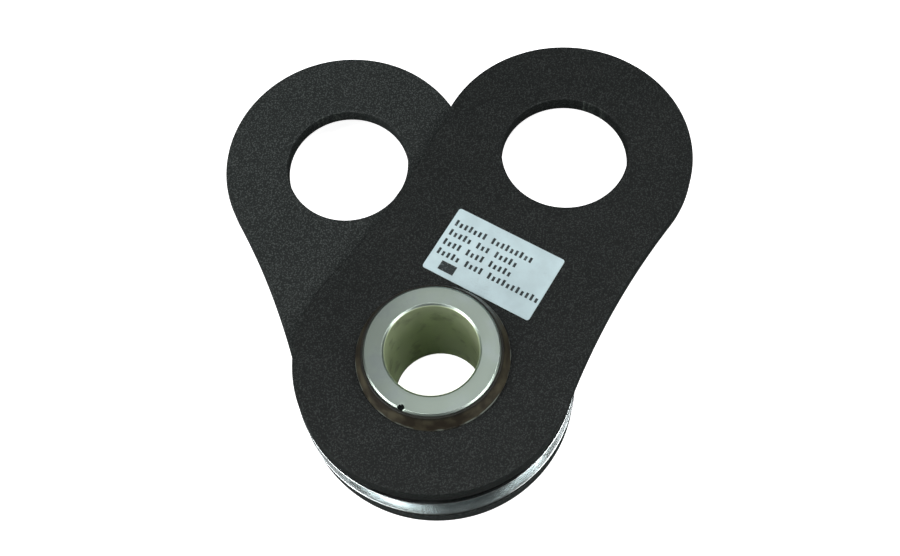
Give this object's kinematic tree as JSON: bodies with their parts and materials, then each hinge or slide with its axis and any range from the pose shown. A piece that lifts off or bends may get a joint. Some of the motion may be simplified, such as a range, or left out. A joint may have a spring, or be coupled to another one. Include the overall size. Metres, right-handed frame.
{
  "type": "single sheave snatch block",
  "caption": "Snatch block with a grooved sheave on a hollow axle between swinging waisted side plates, each with a large shackle eye.",
  "frame": {"origin": "middle of the axle's open bore", "axes": "+Z along the axle towards the labelled plate, +Y midway between the two shackle eyes, +X to the labelled plate's side"},
  "size_m": [0.2712, 0.2778, 0.072],
  "materials": {
    "powder_coat_black": "textured black powder coat, satin, with bare rub marks in the eyes",
    "zinc_plate": "zinc-plated turned steel",
    "machined_steel": "bare turned steel, bright on the end faces, duller in the bore",
    "oxide_steel": "dark brown turned steel, lightly oiled",
    "bronze": "turned bronze (hidden, assumed)",
    "label_film": "pale blue-grey film with plain printed bars"
  },
  "bodies": {
    "axle_assembly": {"hollow_axle": "machined_steel", "upper_retaining_collar": "oxide_steel", "lower_retaining_collar": "oxide_steel", "upper_thrust_washer": "bronze", "lower_thrust_washer": "bronze"},
    "sheave_assembly": {"sheave": "zinc_plate", "sheave_bush": "bronze"},
    "upper_plate_assembly": {"upper_side_plate": "powder_coat_black", "rating_label": "label_film"},
    "lower_plate_assembly": {"lower_side_plate": "powder_coat_black"}
  },
  "joints": [
    {"name": "sheave_spin", "type": "hinge", "parent": "axle_assembly", "child": "sheave_assembly", "pos_m": [0, 0, 0], "axis": [0, 0, 1], "continuous": true},
    {"name": "upper_plate_swing", "type": "hinge", "parent": "axle_assembly", "child": "upper_plate_assembly", "pos_m": [0, 0, 0.0185], "axis": [0, 0, 1], "continuous": true},
    {"name": "lower_plate_swing", "type": "hinge", "parent": "axle_assembly", "child": "lower_plate_assembly", "pos_m": [0, 0, -0.0185], "axis": [0, 0, 1], "continuous": true}
  ]
}
